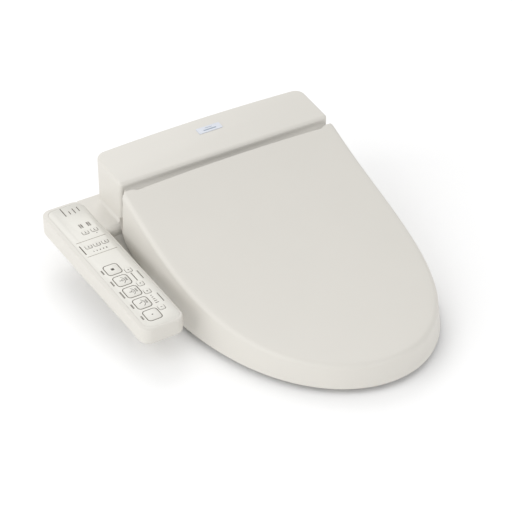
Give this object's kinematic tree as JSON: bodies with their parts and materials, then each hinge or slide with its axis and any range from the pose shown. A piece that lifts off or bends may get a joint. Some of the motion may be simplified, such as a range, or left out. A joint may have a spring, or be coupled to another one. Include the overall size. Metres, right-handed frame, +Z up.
{
  "type": "electric bidet seat",
  "caption": "Electric bidet seat with a sweeping lid, heated seat, rear housing and a cantilevered control arm with press keys at one side",
  "frame": {"origin": "underside of the mounting plate, midway between its two bolt slots, at the level of the top of the toilet bowl", "axes": "+Z up, -Y towards the front of the seat, -X towards the control arm"},
  "size_m": [0.47, 0.53, 0.1585],
  "materials": {
    "bone_plastic": "satin moulded bone-coloured plastic",
    "key_caps": "matt moulded caps with printed marks",
    "panel_film": "fine-grained printed film",
    "inner_plastic": "unpainted grey moulding",
    "black_plastic": "plain dark moulding",
    "stainless_steel": "brushed stainless",
    "bumper_rubber": "soft pale rubber",
    "name_plate": "plain pale plate",
    "heating_foil": "thin foil",
    "wand_tip": "smooth white moulding",
    "acetal": "white gear plastic",
    "copper": "copper-sheathed element",
    "circuit_board": "green board",
    "transformer": "taped winding",
    "carbon_filter": "activated carbon block"
  },
  "bodies": {
    "housing": {"upper_cover": "bone_plastic", "arm_lower_cover": "bone_plastic", "bottom_pan": "bone_plastic", "front_deck": "bone_plastic", "panel_film": "panel_film", "mounting_plate": "inner_plastic", "wand_guide": "inner_plastic", "water_tank": "inner_plastic", "tank_cap": "inner_plastic", "inlet_valve": "inner_plastic", "seat_damper": "black_plastic", "lid_damper": "black_plastic", "blower_housing": "black_plastic", "blower_cover": "black_plastic", "dryer_duct": "black_plastic", "deodorizer_fan": "black_plastic", "cord_gland": "black_plastic", "hinge_pin_left": "stainless_steel", "hinge_pin_right": "stainless_steel", "wand_motor": "stainless_steel", "tank_thermostat": "stainless_steel", "inlet_port": "stainless_steel", "blower_motor": "stainless_steel", "name_plate": "name_plate", "tank_heater": "copper", "main_board": "circuit_board", "panel_board": "circuit_board", "power_transformer": "transformer", "deodorizer_filter": "carbon_filter"},
    "lid": {"lid": "bone_plastic", "lid_bumper_left": "bumper_rubber", "lid_bumper_right": "bumper_rubber"},
    "seat": {"seat_top": "bone_plastic", "seat_base": "inner_plastic", "seat_heater": "heating_foil", "seat_bumper_front_left": "bumper_rubber", "seat_bumper_front_right": "bumper_rubber", "seat_bumper_rear_left": "bumper_rubber", "seat_bumper_rear_right": "bumper_rubber"},
    "wand": {"spray_wand": "stainless_steel", "wand_tip": "wand_tip"},
    "wand_gear": {"wand_pinion": "acetal"},
    "fan_wheel": {"blower_wheel": "inner_plastic"},
    "air_flap": {"dryer_flap": "bone_plastic"},
    "strainer": {"strainer_plug": "bone_plastic"},
    "release": {"release_button": "black_plastic"},
    "key_energy_saver_cap": {"key_energy_saver": "key_caps"},
    "key_deodorizer_cap": {"key_deodorizer": "key_caps"},
    "key_water_heat_cap": {"key_water_heat": "key_caps"},
    "key_seat_heat_cap": {"key_seat_heat": "key_caps"},
    "key_dryer_heat_cap": {"key_dryer_heat": "key_caps"},
    "key_position_back_cap": {"key_position_back": "key_caps"},
    "key_position_front_cap": {"key_position_front": "key_caps"},
    "key_pressure_up_cap": {"key_pressure_up": "key_caps"},
    "key_pressure_down_cap": {"key_pressure_down": "key_caps"},
    "key_stop_cap": {"key_stop": "key_caps"},
    "key_rear_wash_cap": {"key_rear_wash": "key_caps"},
    "key_soft_wash_cap": {"key_soft_wash": "key_caps"},
    "key_front_wash_cap": {"key_front_wash": "key_caps"},
    "key_dryer_cap": {"key_dryer": "key_caps"}
  },
  "joints": [
    {"name": "seat_hinge", "type": "hinge", "parent": "housing", "child": "seat", "pos_m": [0, -0.084, 0.11], "axis": [-1, 0, 0], "range_deg": [0, 105]},
    {"name": "lid_hinge", "type": "hinge", "parent": "seat", "child": "lid", "pos_m": [0, -0.084, 0.11], "axis": [1, 0, 0], "range_deg": [-105, 0]},
    {"name": "wand_slide", "type": "slide", "parent": "housing", "child": "wand", "axis": [0, -0.866, -0.5], "range_m": [0, 0.088]},
    {"name": "wand_gear_spin", "type": "hinge", "parent": "housing", "child": "wand_gear", "pos_m": [0, -0.07505, 0.01932], "axis": [1, 0, 0], "range_deg": [0, 842]},
    {"name": "fan_spin", "type": "hinge", "parent": "housing", "child": "fan_wheel", "pos_m": [-0.088, 0, 0.0245], "axis": [0, 0, 1], "continuous": true},
    {"name": "air_flap_hinge", "type": "hinge", "parent": "housing", "child": "air_flap", "pos_m": [-0.088, -0.1008, 0.0306], "axis": [-1, 0, 0], "range_deg": [0, 70]},
    {"name": "strainer_turn", "type": "hinge", "parent": "housing", "child": "strainer", "pos_m": [0.1792, 0, 0.025], "axis": [1, 0, 0], "range_deg": [0, 90]},
    {"name": "release_press", "type": "slide", "parent": "housing", "child": "release", "axis": [-1, 0, 0], "range_m": [0, 0.003], "stiffness_N_per_m": 400},
    {"name": "key_energy_saver_press", "type": "slide", "parent": "housing", "child": "key_energy_saver_cap", "axis": [0, 0.0691, -0.9976], "range_m": [0, 0.0008], "stiffness_N_per_m": 800},
    {"name": "key_deodorizer_press", "type": "slide", "parent": "housing", "child": "key_deodorizer_cap", "axis": [0, 0.0691, -0.9976], "range_m": [0, 0.0008], "stiffness_N_per_m": 800},
    {"name": "key_water_heat_press", "type": "slide", "parent": "housing", "child": "key_water_heat_cap", "axis": [0, 0.0691, -0.9976], "range_m": [0, 0.0008], "stiffness_N_per_m": 800},
    {"name": "key_seat_heat_press", "type": "slide", "parent": "housing", "child": "key_seat_heat_cap", "axis": [0, 0.0691, -0.9976], "range_m": [0, 0.0008], "stiffness_N_per_m": 800},
    {"name": "key_dryer_heat_press", "type": "slide", "parent": "housing", "child": "key_dryer_heat_cap", "axis": [0, 0.0691, -0.9976], "range_m": [0, 0.0008], "stiffness_N_per_m": 800},
    {"name": "key_position_back_press", "type": "slide", "parent": "housing", "child": "key_position_back_cap", "axis": [0, 0.0691, -0.9976], "range_m": [0, 0.0008], "stiffness_N_per_m": 800},
    {"name": "key_position_front_press", "type": "slide", "parent": "housing", "child": "key_position_front_cap", "axis": [0, 0.0691, -0.9976], "range_m": [0, 0.0008], "stiffness_N_per_m": 800},
    {"name": "key_pressure_up_press", "type": "slide", "parent": "housing", "child": "key_pressure_up_cap", "axis": [0, 0.0691, -0.9976], "range_m": [0, 0.0008], "stiffness_N_per_m": 800},
    {"name": "key_pressure_down_press", "type": "slide", "parent": "housing", "child": "key_pressure_down_cap", "axis": [0, 0.0691, -0.9976], "range_m": [0, 0.0008], "stiffness_N_per_m": 800},
    {"name": "key_stop_press", "type": "slide", "parent": "housing", "child": "key_stop_cap", "axis": [0, 0.0691, -0.9976], "range_m": [0, 0.0008], "stiffness_N_per_m": 800},
    {"name": "key_rear_wash_press", "type": "slide", "parent": "housing", "child": "key_rear_wash_cap", "axis": [0, 0.0691, -0.9976], "range_m": [0, 0.0008], "stiffness_N_per_m": 800},
    {"name": "key_soft_wash_press", "type": "slide", "parent": "housing", "child": "key_soft_wash_cap", "axis": [0, 0.0691, -0.9976], "range_m": [0, 0.0008], "stiffness_N_per_m": 800},
    {"name": "key_front_wash_press", "type": "slide", "parent": "housing", "child": "key_front_wash_cap", "axis": [0, 0.0691, -0.9976], "range_m": [0, 0.0008], "stiffness_N_per_m": 800},
    {"name": "key_dryer_press", "type": "slide", "parent": "housing", "child": "key_dryer_cap", "axis": [0, 0.0691, -0.9976], "range_m": [0, 0.0008], "stiffness_N_per_m": 800}
  ],
  "couplings": [
    {"joint": "wand_gear_spin", "follows": "wand_slide", "rad_per_m": 166.67}
  ]
}
